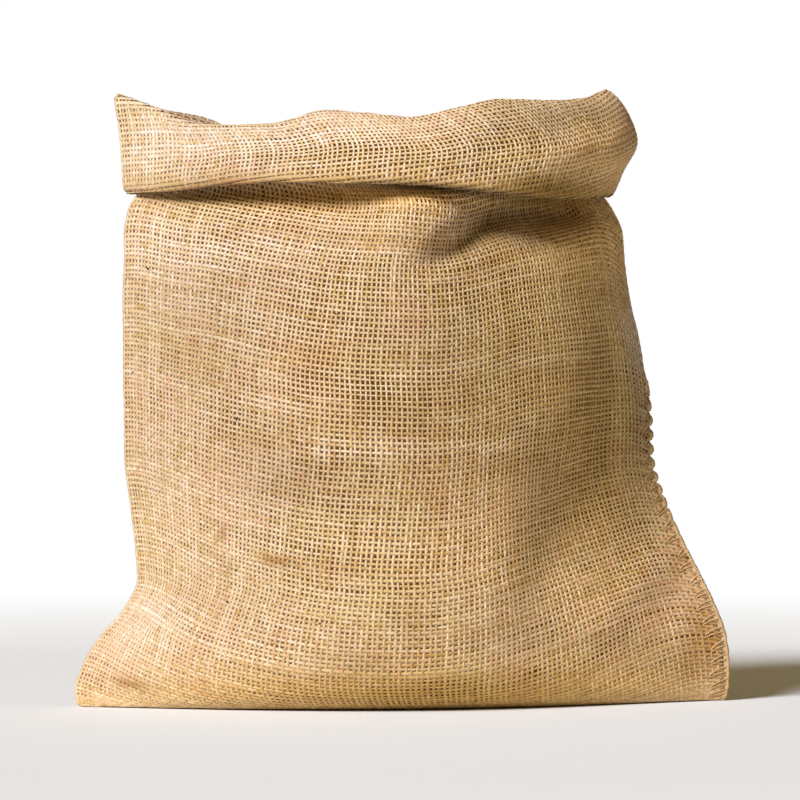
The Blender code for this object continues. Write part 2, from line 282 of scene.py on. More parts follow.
def panel_points(side, across):
    """Points of one panel, (level, across, xyz): y = side line + bow times (1 - off_peak squared) to the ear.

    off_peak runs from 1 at a side to 0 at the fullest place. The folds are taken off the bow. Each section is
    then sampled at even lengths of cloth.
    """
    values = smooth(LEVELS, np.arange(len(STATIONS)), STATIONS)
    station = {name: values[:, [k]] for k, name in enumerate(STATION_COLUMNS)}
    share = 0.5 - 0.5 * np.cos(np.linspace(0.0, np.pi, SECTION_POINTS))[None, :]
    peak = station["peak"]
    off_peak = np.where(share < peak, (peak - share) / peak, (share - peak) / (1.0 - peak))
    ear = np.where(share < peak, station["left_ear"], station["right_ear"])
    fullness = np.clip(1.0 - off_peak ** 2, 0.0, 1.0) ** ear
    x = station["left"] + (station["right"] - station["left"]) * share
    side_line = station["left_y"] + (station["right_y"] - station["left_y"]) * share
    height = station["height"] + 0.0 * x
    fade = np.clip((FOLD_TOP - station["height"]) / FOLD_FADE, 0.0, 1.0)
    on_body = ((LEVELS > FLOOR_STATION) & (LEVELS <= RIM_STATION))[:, None]
    on_cuff = np.clip(np.minimum(LEVELS - CUFF_STATION, HEM_STATION - LEVELS), 0.0, 1.0)[:, None]
    taper = np.clip(np.minimum(share, 1.0 - share) / END_TAPER, 0.0, 1.0)
    dent = spot_field(BODY_FOLDS[side], FOLD_COLUMNS, x, height, "inward") * (fade * on_body)
    dent += spot_field(CUFF_FOLDS[side], FOLD_COLUMNS, x, height, "inward") * on_cuff
    dent *= taper * taper * (3.0 - 2.0 * taper)
    out = -1.0 if side == "front" else 1.0
    y = side_line + out * (station[side] * fullness - dent)
    steps = np.hypot(np.diff(x, axis=1, prepend=x[:, :1]), np.diff(y, axis=1, prepend=y[:, :1]))
    length = np.cumsum(steps, axis=1)
    moved = across
    if side == "front":
        drift = 4.0 * smooth(LEVELS, DRIFT_LEVELS, DRIFT)[:, None] * across * (1.0 - across)
        lean = smooth(LEVELS, LEAN_LEVELS, LEAN)[:, None] * np.exp(-((across - LEAN_AT) / LEAN_REACH) ** 2)
        moved = across + drift + lean
    at = np.clip(moved, 0.0, 1.0) * length[:, -1:]
    share = interpolate_each(at, length, share + 0.0 * x)
    waves = dict(zip(WAVE_COLUMNS, np.transpose(WAVES)))
    rim = smooth(share, waves["across"], waves[side + "_rim"])
    edge = smooth(share, waves["across"], waves[side + "_edge"])
    z = 0.5 * WALL + station["height"] + station["rim"] * rim + station["edge"] * edge
    return np.stack((interpolate_each(at, length, x), interpolate_each(at, length, y), z), axis=-1)


def loop_points(loop):
    """Points at places along the loop: 0 to 1 is the front, from left to right, and 1 to 2 the back."""
    loop = loop % 2.0
    front = loop < 1.0
    points = np.empty((len(LEVELS), len(loop), 3))
    for side, here, across in (("front", front, loop), ("back", ~front, 2.0 - loop)):
        if here.any():
            points[:, here] = panel_points(side, across[here])
    return points


def cloth_length(points, loop):
    """Cloth from the bottom seam to each point, (level, place): the surface's length plus what is eased in.

    On the cuff it is the length at the cuff's edge less the way from the edge.
    """
    steps = np.linalg.norm(np.diff(points, axis=0, prepend=points[:1]), axis=-1)
    length = np.cumsum(steps, axis=0)
    across = 1.0 - np.abs(1.0 - loop % 2.0)
    sides = {side: smooth(across, GATHER_ACROSS, row) for side, row in CUFF_EDGE.items()}
    edge = np.where(loop % 2.0 < 1.0, sides["front"], sides["back"])
    on_cuff = edge - length[round(CUFF_EDGE_LEVEL * LEVELS_PER_STATION)]
    eased = np.vstack((smooth(across, GATHER_ACROSS, np.transpose(GATHER)).T, on_cuff, on_cuff))
    return length + smooth(LEVELS, GATHER_LEVELS + CUFF_LEVELS, eased)


class ClothColumns:
    """The surface along chosen places of the loop, to be read at any length of cloth from the bottom seam."""

    def __init__(self, loop, reach):
        self.points = loop_points(loop)
        beside = loop_points(loop + reach) - loop_points(loop - reach)
        up = np.gradient(self.points, axis=0)
        self.normals = np.cross(beside, up)
        self.normals[0] = (0.0, 0.0, -1.0)
        self.normals = unit(self.normals)
        self.row_value = cloth_length(self.points, loop)
        self.beside = unit(beside)

    def read(self, values):
        """Points, normals, directions and levels at (column, value), values in millimetres of cloth."""
        index = np.broadcast_to(np.arange(len(self.row_value), dtype=float), self.row_value.T.shape)
        place = interpolate_each(values, self.row_value.T, index)
        low = np.minimum(place.astype(int), len(self.row_value) - 2)
        share = (place - low)[..., None]
        column = np.arange(values.shape[0])[:, None]

        def between(grid):
            return grid[low, column] * (1.0 - share) + grid[low + 1, column] * share

        points = between(self.points)
        normals = unit(between(self.normals))
        beside = unit(between(self.beside))
        up = unit(np.cross(normals, beside))
        return points, normals, beside, up, place / LEVELS_PER_STATION


# -----------------------------------------------------------------------------------------------------------
# The weave

# Places where the yarns are thinner and the holes stand open, or thicker and closed: x and z, radius, and the
# share of width that is lost or, below nought, gained
OPEN_SPOT_COLUMNS = ("x", "z", "radius", "thinner")
OPEN_SPOTS = (
    (-16, 153, 11, 0.34),
    (-43, 157, 8, 0.26),
    (-82, 139, 9, 0.24),
    (2, 140, 16, 0.16),
    (-30, 190, 30, 0.12),
    (30, 205, 26, 0.14),
    (-8, 268, 26, 0.16),
    (40, 266, 24, 0.14),
    (105, 95, 12, 0.18),
    (112, 60, 24, 0.12),
    (-132, 200, 40, -0.3),
    (-134, 125, 36, -0.24),
    (-118, 50, 46, -0.22),
    (-20, 48, 60, -0.1),
    (-126, 270, 30, -0.34),
    (-60, 8, 50, -0.1),
    (60, 8, 50, -0.1),
    (111, 197, 15, -0.34),
    (112, 174, 14, -0.26),
    (94, 224, 20, -0.2),
    (106, 274, 24, -0.34),
)

# Stains: x and z, half length, half width, lean of the length from level, and strength; front and back alike
STAIN_COLUMNS = ("x", "z", "length", "width", "lean", "strength")
STAINS = (
    (-62, 72, 7, 2.6, -8, 1.2),
    (-87, 84.5, 4.5, 1.8, 80, 0.9),
    (-83.5, 68, 4, 1.6, 80, 0.7),
    (-131, 12, 9, 2.6, -10, 0.9),
    (-18, 24, 15, 8, 0, 0.45),
    (4, 41, 8, 10, 0, 0.4),
    (58, 62, 8, 4, 30, 0.45),
    (153, 26, 4.5, 10, 0, 0.6),
    (-60, 208, 30, 9, 4, 0.35),
    (-66, 228, 50, 7, 0, 0.45),
    (40, 212, 26, 4, 24, 0.55),
    (0, 222, 40, 5, -3, 0.4),
    (-20, 140, 26, 5, 3, 0.3),
    (4, 132, 22, 2.5, -2, 0.45),
    (60, 150, 16, 5, 10, 0.3),
    (34, 118, 18, 6, 0, 0.35),
    (-46, 110, 24, 8, 12, 0.3),
    (-34, 70, 18, 6, -4, 0.35),
    (144, 30, 9, 26, -14, 0.75),
    (136, 70, 5, 30, -22, 0.5),
)

# Painted light and shade, with some tints of the cloth's own colour: cloth painted darker where less
# light falls and paler where more falls, painted shadows under the cuff's edge and in the hollow beside
# it, painted highlights along the creases, and the warmer hue of shade. x and z, half length, half width,
# lean of the length from level, the share by which the colour changes, and the share of its blue that goes
PAINTED_LIGHT_AND_TINT_COLUMNS = ("x", "z", "length", "width", "lean", "change", "warmth")
PAINTED_LIGHT_AND_TINTS = (
    # The sewn side painted darker where it turns away from the light, with the warmer hue of its shade
    (114, 145, 62, 24, 88, -0.52, 0.1),
    (92, 140, 115, 45, 90, 0.03, 0.4),
    (20, 120, 60, 120, 0, 0, 0.2),
    (113, 180, 26, 7, 96, 0.02, -0.42),
    # Pale rows along the shallow creases: painted highlights
    (2, 159.5, 20, 1.5, 3, 0.34, -0.4),
    (-10, 153, 12, 3, 0, 0.16, -0.4),
    (-15, 125, 34, 5, 0, 0.15, -0.3),
    (42, 124, 16, 4, 20, 0.16, -0.3),
    (56, 136, 14, 4, 42, 0.12, -0.16),
    (68, 168, 20, 1.6, 9, 0.2, -0.25),
    (31, 149, 10, 9, 0, -0.12, 0.12),
    # Just under the cuff's edge: a paler strip, then a dark painted shadow line
    (22, 242.6, 46, 3.6, -2, 0.46, 0),
    (16, 247.2, 34, 1.7, -4, -0.75, 0),
    (-47, 168, 24, 7, 0, -0.05, 0.22),
    (-60, 129, 24, 7, 0, -0.08, 0.22),
    (-104, 172, 24, 13, -25, -0.05, 0.26),
    (88, 221, 28, 16, 0, 0.3, 0.12),
    (92, 205, 34, 24, 60, -0.16, 0),
    (-104, 188, 62, 46, 90, -0.2, 0),
    (-85, 230, 62, 17, 0, 0.22, -0.25),
    (-70, 212, 70, 26, 0, 0.02, -0.1),
    (-95, 55, 50, 34, 0, -0.15, 0),
    (-135, 14, 28, 8, 0, -0.12, 0),
    (-32, 20, 34, 12, 0, -0.1, 0),
    (6, 46, 62, 22, 0, -0.12, 0),
    (132, 22, 26, 16, 0, 0, 0.16),
    (-130, 40, 30, 16, 0, 0.08, -0.18),
    (29, 168, 44, 42, 0, -0.3, 0.06),
    (0, 108, 64, 28, 0, -0.17, 0),
    (-64, 116, 28, 26, 0, -0.16, 0),
    (-122, 118, 22, 24, 0, -0.12, 0),
    (-70, 168, 60, 26, 0, -0.07, 0),
    (110, 50, 46, 34, 40, 0.14, 0),
    (110, 40, 18, 10, 20, 0.18, 0),
    (84, 72, 16, 10, 0, -0.14, 0),
    (130, 19, 22, 11, -10, -0.17, 0),
    (70, 45, 40, 26, 10, 0.1, 0),
    (0, 10, 110, 15, 0, -0.09, 0.38),
    (0, 5, 170, 11, 0, -0.02, 0.26),
    (-10, 268, 40, 14, 0, 0.12, 0),
    (-80, 276, 90, 18, 0, 0.04, -0.33),
    (78, 263, 26, 8, 0, 0.16, 0.08),
    (98, 278, 20, 20, 0, 0, 0.18),
    (88, 286, 36, 10, 14, -0.28, 0),
    (92, 260, 18, 7, 0, 0.2, 0),
    (-30, 245, 90, 5, 0, 0.05, 0.4),
    (-55, 240, 50, 9, 0, -0.04, 0.36),
    (-94, 248, 32, 6, 2, -0.28, 0.25),
    # The hollow under the cuff's right side: painted shadow
    (72, 247, 22, 6.5, -3, -0.5, 0.5),
    (60, 238, 18, 5, -8, -0.24, 0),
    (38, 230, 16, 8, 50, -0.4, 0.2),
    (80, 228, 14, 6, 0, 0.1, 0),
)

# The back panel shows this share of the painted light and shade, and its sides fade to it over this part of
# a panel's width
BACK_SHARE = 0.3
BACK_FADE = 0.12

# The overcast seam, in millimetres: the length of cloth from the bottom seam at its first and last stitch,
# from one stitch to the next, how far in from the edge a stitch reaches at its foot and at its top, how far
# it draws the edge in and over what width, the twine's radius, and how far its two strands lie apart
SEAM = {
    "first": 4.0, "last": 205.0, "pitch": 8.4, "low_inset": 7.6, "high_inset": 5.5,
    "pull": 1.9, "drawn": 5.0, "radius": 0.30, "apart": 3.6,
}
MEAN_PANEL = 325.0

# The scallops that the stitches draw in the edge: their share of full depth low down, the length of cloth
# from which they deepen and over which they do, over which they end at the top, and the nearness to a stitch
# at which the edge stays where it is
SCALLOPS = {"least": 0.12, "start": 122.0, "rise": 36.0, "end": 22.0, "even": 0.25}

# One stitch: its phase, the share of the inset (the front is negative), how far it has climbed towards the
# next stitch, and how far it stands off the cloth in millimetres
STITCH = (
    (0, -1, 0, -0.4),
    (0.06, -0.97, 0.05, 0.35),
    (0.18, -0.7, 0.32, 0.5),
    (0.33, -0.34, 0.62, 0.6),
    (0.45, -0.06, 0.82, 0.6),
    (0.5, 0, 0.86, 0.6),
    (0.55, 0.06, 0.89, 0.6),
    (0.66, 0.3, 0.93, 0.6),
    (0.8, 0.66, 0.96, 0.5),
    (0.94, 0.97, 0.99, 0.35),
    (1, 1, 1, -0.4),
)
SEAM_TIP = 0.86
STITCH_POINTS = 22
STITCH_SHIFT = (-0.5, 0.5)  # how far its start stands off its even place
STITCH_REACH = (0.8, 1.15)  # the inset that it has, as a share of the even one
STRANDS_CLOSER = 0.55  # the share of their distance that the strands lose up the seam
TWINE_SIDES = 8

# The rolled edge: how many yarns wind round it, their radius, how far they lie from its middle, how far that
# lies in from the cloth's edge, the length of one turn, and the step along it
EDGE = {"yarns": 5, "radius": 0.42, "reach": 0.62, "inset": 0.4, "turn": 6.5, "step": 0.7}
EDGE_SIDES = 6

# The hem's fold: its level and how many levels it reaches over, how much thicker its yarns are, how much
# more so its warps, and how much orange-brown is laid along it; and a darker place in that band
HEM = {"level": 29.7, "reach": 1.1, "thicker": 0.28, "thicker_warps": 0.3, "stain": 0.42}
HEM_BAND = {"x": -86.0, "reach": 22.0, "more": 0.35}

# Cloth beside the seam, thicker and stained over this width, and a stitch's hole in it, thinner and stained
BESIDE_SEAM = {"reach": 9.0, "thicker": 0.3, "stain": 0.25}
HOLE = {"radius": 1.3, "thinner": 0.5, "stain": 0.5}

# Over how many crossings each kind of unevenness runs, and the part that each has in the yarns' width,
# tone and hue
UNEVEN_OVER = {"patches": 30.0, "slubs": 9.0, "coarse": 2.5, "sway": 12.0, "colour": 16.0, "hue": 4.0}
IN_WIDTH = {"slubs": 0.5, "own": 0.4, "patches": 0.3, "coarse": 0.45}
IN_TONE = {"own": 0.5, "colour": 0.5, "grain": 0.8}
PATCHES_IN_HUE = 0.6
LEAST_WIDTH = 0.62
MOST_WIDTH = 1.5
EVEN_HEIGHT = 0.6  # the share of a yarn's height that doesn't follow its width

# Bits of bark that are spun into the front's yarns: x and z, length, lean of the length from level, and
# radius; then the levels between which they lie, and how far they stand off the cloth's middle
FLECKS = (
    (-124.5, 212, 3.2, -35, 0.5),
    (-131.9, 162, 1.6, 10, 0.42),
    (-129.9, 177, 1.4, 80, 0.38),
    (-79.5, 139, 2, 70, 0.45),
    (-94, 147, 1.6, 20, 0.4),
    (-80, 164.5, 1.3, -20, 0.36),
    (-84.2, 52, 1.8, -10, 0.45),
    (-80, 67.4, 1.4, 15, 0.38),
    (-39.9, 42.8, 1.6, 5, 0.42),
    (-40.3, 104.8, 1.3, 85, 0.36),
    (-32.8, 188.4, 1.3, 0, 0.36),
    (81.4, 52.9, 1.5, 30, 0.38),
    (97, 33.9, 1.5, -15, 0.4),
    (45.5, 99.9, 1.5, 90, 0.38),
    (139, 71, 2.4, -20, 0.6),
)
FLECK_LEVELS = (4.0, 20.0)
FLECK_LIFT = 0.45
FLECK_POINTS = 7
FLECK_SIDES = 6

# Loose fibres, in millimetres: their length and rise off the cloth from least to most, where they start above
# the cloth's middle, their radius, and the points along one
FIBRE_LENGTH = (1.5, 5.5)
FIBRE_RISE = (0.1, 0.75)
FIBRE_START = 0.35
FIBRE_RADIUS = 0.055
FIBRE_POINTS = 5
FIBRE_SIDES = 3


def smooth_noise(rng, shape, reach, axes):
    """Random values that vary over about reach steps and wrap round, with a spread of one.

    White noise is weighted by exp(-(frequency times reach) squared) along each axis.
    """
    noise = rng.standard_normal(shape)
    for axis in axes:
        frequency = np.fft.fftfreq(shape[axis])
        weight = np.exp(-(frequency * reach) ** 2)
        stretch = [1] * len(shape)
        stretch[axis] = shape[axis]
        noise = np.real(np.fft.ifft(np.fft.fft(noise, axis=axis) * weight.reshape(stretch), axis=axis))
    return noise / noise.std()


def is_sewn(value):
    """True where the seam is sewn, by the length of cloth from the bottom seam."""
    return (value > SEAM["first"]) & (value < SEAM["last"] + SEAM["pitch"])


def seam_inset(share):
    """How far in from the edge the stitches reach, by the share of the way up the seam."""
    return SEAM["low_inset"] + (SEAM["high_inset"] - SEAM["low_inset"]) * share


def stitch_nearness(value):
    """One where a stitch goes over the edge, nought between two, and less low down and at the top.

    It is a raised cosine along the cloth's length, squared.
    """
    phase = (value - SEAM["first"]) / SEAM["pitch"] - SEAM_TIP
    rise = np.clip((value - SCALLOPS["start"]) / SCALLOPS["rise"], 0.0, 1.0)
    depth = SCALLOPS["least"] + (1.0 - SCALLOPS["least"]) * rise
    depth *= np.clip((SEAM["last"] + SEAM["pitch"] - value) / SCALLOPS["end"], 0.0, 1.0)
    return (0.5 + 0.5 * np.cos(2.0 * np.pi * phase)) ** 2 * is_sewn(value) * depth


def edge_pull(loop, value):
    """How far the sewn edge is drawn in: pull times (nearness - even) times exp(-inset squared)."""
    inset = (loop - 1.0) * MEAN_PANEL / SEAM["drawn"]
    return SEAM["pull"] * (stitch_nearness(value) - SCALLOPS["even"]) * is_sewn(value) * np.exp(-inset ** 2)


def stitch_holes(loop, value):
    """One where a stitch goes into the cloth: exp(-squares of the distances along and across the cloth)."""
    share = np.clip((value - SEAM["first"]) / (SEAM["last"] - SEAM["first"]), 0.0, 1.0)
    phase = (value - SEAM["first"]) / SEAM["pitch"]
    off = (np.abs(1.0 - loop) * MEAN_PANEL - seam_inset(share)) / HOLE["radius"]
    along = (phase - np.round(phase)) * SEAM["pitch"] / HOLE["radius"]
    return np.exp(-off ** 2 - along ** 2) * (value < SEAM["last"])


class Crossings:
    """Where the warps and wefts cross, as (warp, row) grids in millimetres, and how each yarn is there."""

    def __init__(self, weave):
        pitch = weave.row_pitch / MM
        loop = (np.arange(2 * weave.warps_per_panel) + 0.5) / weave.warps_per_panel
        columns = ClothColumns(loop, 0.5 / weave.warps_per_panel)
        self.seam_line = columns.points[0]
        raw_edge = columns.row_value[-1]
        row_value = (np.arange(int(raw_edge.max() / pitch)) + 0.5) * pitch
        self.there = row_value[None, :] <= raw_edge[:, None]
        value = np.minimum(row_value[None, :], raw_edge[:, None])
        loop = loop[:, None]
        self.points, self.normals, self.beside, self.up, level = columns.read(value)
        self.front_body = (loop < 1.0) & (level > FLECK_LEVELS[0]) & (level < FLECK_LEVELS[1])
        self.points[..., 0] -= edge_pull(loop, value)
        hem = np.exp(-((level - HEM["level"]) / HEM["reach"]) ** 2)
        near_seam = np.exp(-((loop - 1.0) * MEAN_PANEL / BESIDE_SEAM["reach"]) ** 2) * (value < SEAM["last"])
        holes = stitch_holes(loop, value)
        self.stain_and_paint_light(loop, hem, near_seam, holes)
        self.vary_yarns(weave, hem, near_seam, holes)
        odd = np.add.outer(*(np.arange(size) for size in self.there.shape)) % 2
        self.over = (odd * 2.0 - 1.0) * weave.crimp / MM

    def stain_and_paint_light(self, loop, hem, near_seam, holes):
        """Stain at every crossing, and painted light and shade with its warmth, weaker on the back panel."""
        x, z = self.points[..., 0], self.points[..., 2]
        # The orange-brown band along the hem's fold, darker near x -86, goes in with the stains
        darker = HEM_BAND["more"] * np.exp(-((x - HEM_BAND["x"]) / HEM_BAND["reach"]) ** 2)
        stain = spot_field(STAINS, STAIN_COLUMNS, x, z, "strength")
        stain += hem * (HEM["stain"] + darker)
        self.stain = np.clip(stain + BESIDE_SEAM["stain"] * near_seam + HOLE["stain"] * holes, 0.0, 1.0)
        # Painted light and shade, and the warmer hue of shade, from the table of them
        behind = np.clip(np.minimum(loop - 1.0, 2.0 - loop) / BACK_FADE, 0.0, 1.0)
        share = 1.0 + (BACK_SHARE - 1.0) * behind
        self.shade = 1.0 + share * spot_field(PAINTED_LIGHT_AND_TINTS, PAINTED_LIGHT_AND_TINT_COLUMNS, x, z, "change")
        self.warmth = share * spot_field(PAINTED_LIGHT_AND_TINTS, PAINTED_LIGHT_AND_TINT_COLUMNS, x, z, "warmth")

    def vary_yarns(self, weave, hem, near_seam, holes):
        """Width, sway off the row, tone and hue of the warps and the wefts, by sums of smooth noise."""
        rng = np.random.default_rng(weave.seed)
        shape = self.there.shape
        x, z = self.points[..., 0], self.points[..., 2]
        patches = smooth_noise(rng, shape, UNEVEN_OVER["patches"], (0, 1))
        thinner = spot_field(OPEN_SPOTS, OPEN_SPOT_COLUMNS, x, z, "thinner")
        thinner += HOLE["thinner"] * holes - HEM["thicker"] * hem - BESIDE_SEAM["thicker"] * near_seam
        self.width, self.sway, self.tone, self.hue = {}, {}, {}, {}
        for kind, axis, yarns in (("warp", 1, (shape[0], 1)), ("weft", 0, (1, shape[1]))):
            slubs = smooth_noise(rng, shape, UNEVEN_OVER["slubs"], (axis,))
            own = rng.standard_normal(yarns)
            grain = rng.standard_normal(shape)
            coarse = smooth_noise(rng, shape, UNEVEN_OVER["coarse"], (0, 1))
            mixed = IN_WIDTH["slubs"] * slubs + IN_WIDTH["own"] * own
            mixed = mixed + IN_WIDTH["patches"] * patches + IN_WIDTH["coarse"] * coarse
            swell = np.clip(1.0 + weave.unevenness * mixed, LEAST_WIDTH, MOST_WIDTH)
            self.width[kind] = swell * (1.0 - thinner + (kind == "warp") * HEM["thicker_warps"] * hem)
            self.sway[kind] = weave.wander / MM * smooth_noise(rng, shape, UNEVEN_OVER["sway"], (axis,))
            colour = smooth_noise(rng, shape, UNEVEN_OVER["colour"], (axis,))
            tone = IN_TONE["own"] * rng.standard_normal(yarns) + IN_TONE["colour"] * colour
            self.tone[kind] = tone + IN_TONE["grain"] * grain
            hue = smooth_noise(rng, shape, UNEVEN_OVER["hue"], (axis,))
            self.hue[kind] = hue + PATCHES_IN_HUE * patches

    def yarns(self, kind, weave):
        """Ring middles, outward directions, half widths, half heights, marks and extent of a kind of yarn."""
        warp = kind == "warp"
        swing = self.over if warp else -self.over
        aside = self.beside if warp else self.up
        width = self.width[kind]
        middles = self.points + self.normals * swing[..., None] + aside * self.sway[kind][..., None]
        half_width = 0.5 * weave.yarn_width / MM * width
        half_height = 0.5 * weave.yarn_height / MM * (EVEN_HEIGHT + (1.0 - EVEN_HEIGHT) * width)
        marks = np.stack((self.tone[kind], self.hue[kind], self.stain, self.shade, self.warmth), axis=-1)
        grids = (middles, self.normals, half_width, half_height, marks, self.there)
        return grids if warp else tuple(np.swapaxes(grid, 0, 1) for grid in grids)


YARN_PIECES = ("warps_front", "warps_back", "wefts_lower", "wefts_upper")
# tone and hue vary at random, stain holds stains and the hem's band; shade and warmth carry painted light
MARKS = ("tone", "hue", "stain", "shade", "warmth")
RING = 4  # corners of a yarn's ring: top, side, bottom, side

# In the maps: the margins of a yarn's strip and of the sheet, how far along its strip each corner of a yarn's
# end lies, and how far the fibres run on in one turn round the yarn
STRIP_MARGIN = 0.04
SHEET_MARGIN = 0.001
END_CAP = (-0.3, 0.0, 0.3, 0.0)
FIBRE_TWIST = 0.37


def write_mark(mesh, name, values):
    """One number for each point of the mesh, which the materials read by its name."""
    mesh.attributes.new(name, "FLOAT", "POINT").data.foreach_set("value", values.astype(np.float32))


def write_map(mesh, name, places):
    """A UV map, from one place for each corner of each face."""
    mesh.uv_layers.new(name=name).uv.foreach_set("vector", places.astype(np.float32).ravel())


def yarn_mesh(name, middles, normals, half_width, half_height, marks, there, closed):
    """Closed four-sided tubes, one for each unbroken run of rings, as one mesh.

    A ring's corners are the middle plus half the height along the normal, plus half the width along
    side = normal x direction, and their opposites.
    """
    follows = there & np.roll(there, -1, axis=1)
    leads = there & np.roll(there, 1, axis=1)
    if not closed:
        follows[:, -1] = False
        leads[:, 0] = False
    there = follows | leads
    ahead = np.where(follows[..., None], np.roll(middles, -1, axis=1), middles)
    behind = np.where(leads[..., None], np.roll(middles, 1, axis=1), middles)
    side = unit(np.cross(normals, ahead - behind)) * half_width[..., None]
    top = normals * half_height[..., None]
    corners = np.stack((middles + top, middles + side, middles - top, middles - side), axis=2) * MM
    number = np.full(there.shape, -1)
    number[there] = np.arange(there.sum())
    first = number * RING
    corner = np.arange(RING)
    beside = np.roll(corner, -1)
    start = first[follows][:, None]
    end = np.roll(first, -1, axis=1)[follows][:, None]
    walls = np.stack((start + corner, end + corner, end + beside, start + beside), axis=-1).reshape(-1, 4)
    heads = first[there & ~leads][:, None] + corner
    tails = first[there & ~follows][:, None] + corner[::-1]
    faces = np.concatenate((walls, heads, tails))
    mesh = bpy.data.meshes.new(name)
    mesh.vertices.add(int(there.sum()) * RING)
    mesh.vertices.foreach_set("co", corners[there].astype(np.float32).ravel())
    mesh.loops.add(faces.size)
    mesh.loops.foreach_set("vertex_index", faces.astype(np.int32).ravel())
    mesh.polygons.add(len(faces))
    mesh.polygons.foreach_set("loop_start", np.arange(0, faces.size, 4, dtype=np.int32))
    mesh.polygons.foreach_set("use_smooth", np.arange(len(faces)) < len(walls))
    for label, values in zip(MARKS, np.moveaxis(marks, -1, 0)):
        write_mark(mesh, label, np.repeat(values[there], RING))
    write_yarn_maps(mesh, follows, np.stack((there & ~leads, there & ~follows)))
    mesh.update(calc_edges=True)
    mesh.validate()
    return mesh


def write_yarn_maps(mesh, follows, ends):
    """The bake map, a strip for each yarn, and the fibre map, which runs on over the whole length of a yarn.

    A place in the bake map is (yarn + margin + share of the way round) / yarns, (ring + 1/2) / (rings + 1).
    In the fibre map it is yarn + share of the way round, and ring + twist times that.
    """
    yarns, rings = follows.shape
    line, place = np.indices(follows.shape).astype(float)
    within = 1.0 - 2.0 * STRIP_MARGIN
    wall_line = np.repeat(line[follows], RING)[:, None]
    wall_place = np.repeat(place[follows], RING)
    around = np.tile(np.arange(RING), int(follows.sum()))
    across = np.stack((around, around, around + 1, around + 1), axis=-1) / RING
    along = np.stack((wall_place, wall_place + 1, wall_place + 1, wall_place), axis=-1)
    end_line = np.concatenate([line[end] for end in ends])[:, None]
    end_place = np.concatenate([place[end] for end in ends])[:, None]
    wall_x = (wall_line + STRIP_MARGIN + within * across) / yarns
    end_x = (end_line + STRIP_MARGIN + within * np.arange(RING) / RING) / yarns
    wall_y = (0.5 + along) / (rings + 1.0)
    end_y = (0.5 + end_place + np.array(END_CAP)) / (rings + 1.0)
    fibre_x = np.concatenate((across + wall_line, end_x * yarns))
    fibre_y = np.concatenate((along, np.repeat(end_place, RING, axis=1))) + FIBRE_TWIST * fibre_x
    bake = (np.concatenate((wall_x, end_x)), np.concatenate((wall_y, end_y)))
    write_map(mesh, "OFBake", np.stack(bake, axis=-1))
    write_map(mesh, "fibre", np.stack((fibre_x, fibre_y), axis=-1))


def grid_mesh(name, points, there):
    """A sheet over a (column, row, xyz) grid that wraps round, with a face where four corners are true."""
    columns, rows = there.shape
    number = np.arange(columns * rows).reshape(columns, rows)
    beside = np.roll(number, -1, axis=0)
    cells = np.stack((number[:, :-1], beside[:, :-1], beside[:, 1:], number[:, 1:]), axis=-1)
    whole = there[:, :-1] & there[:, 1:]
    whole &= np.roll(whole, -1, axis=0)
    used, faces = np.unique(cells[whole], return_inverse=True)
    mesh = bpy.data.meshes.new(name)
    mesh.from_pydata((points.reshape(-1, 3)[used] * MM).tolist(), [], faces.reshape(-1, 4).tolist())
    column = np.arange(columns)[:, None, None] + np.array((0, 1, 1, 0))
    row = np.arange(rows - 1)[:, None] + np.array((0, 0, 1, 1))
    within = 1.0 - 2.0 * SHEET_MARGIN
    across = SHEET_MARGIN + within * column / columns + np.zeros(cells.shape)
    up = SHEET_MARGIN + within * row / rows + np.zeros(cells.shape)
    write_map(mesh, "OFBake", np.stack((across, up), axis=-1)[whole])
    mesh.shade_smooth()
    return mesh


def strand_mesh(name, paths, radii, reference, sides):
    """Closed round tubes along paths (strand, point, xyz).

    A ring is the point plus radius times (cos turn times across + sin turn times over), where across is the
    reference direction made square to the path, and over = path direction x across. Corners that would lie
    below the floor lie on it.
    """
    strands, points = radii.shape
    ahead = unit(np.gradient(paths, axis=1))
    across = unit(reference - ahead * np.sum(reference * ahead, axis=-1, keepdims=True))
    over = np.cross(ahead, across)
    turn = 2.0 * np.pi * np.arange(sides) / sides
    ring = across[..., None, :] * np.cos(turn)[:, None] + over[..., None, :] * np.sin(turn)[:, None]
    corners = (paths[..., None, :] + radii[..., None, None] * ring) * MM
    corners[..., 2] = np.maximum(corners[..., 2], 0.0)
    number = np.arange(strands * points * sides).reshape(strands, points, sides)
    beside = np.roll(number, -1, axis=2)
    walls = np.stack((number[:, :-1], beside[:, :-1], beside[:, 1:], number[:, 1:]), axis=-1).reshape(-1, 4)
    ends = np.concatenate((number[:, 0, ::-1], number[:, -1])).tolist()
    mesh = bpy.data.meshes.new(name)
    mesh.from_pydata(corners.reshape(-1, 3).tolist(), [], walls.tolist() + ends)
    strand, along, around = np.indices((strands, points - 1, sides))
    x = np.stack((around, around + 1, around + 1, around), axis=-1) / sides
    y = np.stack((along, along, along + 1, along + 1), axis=-1) + 1.0 * strand[..., None]
    wall_map = np.stack((x, y), axis=-1).reshape(-1, 2)
    write_map(mesh, "fibre", np.concatenate((wall_map, np.zeros((2 * strands * sides, 2)))))
    # Painted light and shade from the same table, on the twine, the rolled edge, the fibres and the bark
    for label, plain, column in (("shade", 1.0, "change"), ("warmth", 0.0, "warmth")):
        values = plain + spot_field(PAINTED_LIGHT_AND_TINTS, PAINTED_LIGHT_AND_TINT_COLUMNS, paths[..., 0], paths[..., 2], column)
        write_mark(mesh, label, np.repeat(values.ravel(), sides))
    mesh.shade_smooth()
    return mesh


def add_object(name, data):
    made = bpy.data.objects.new(name, data)
    bpy.context.scene.collection.objects.link(made)
    return made


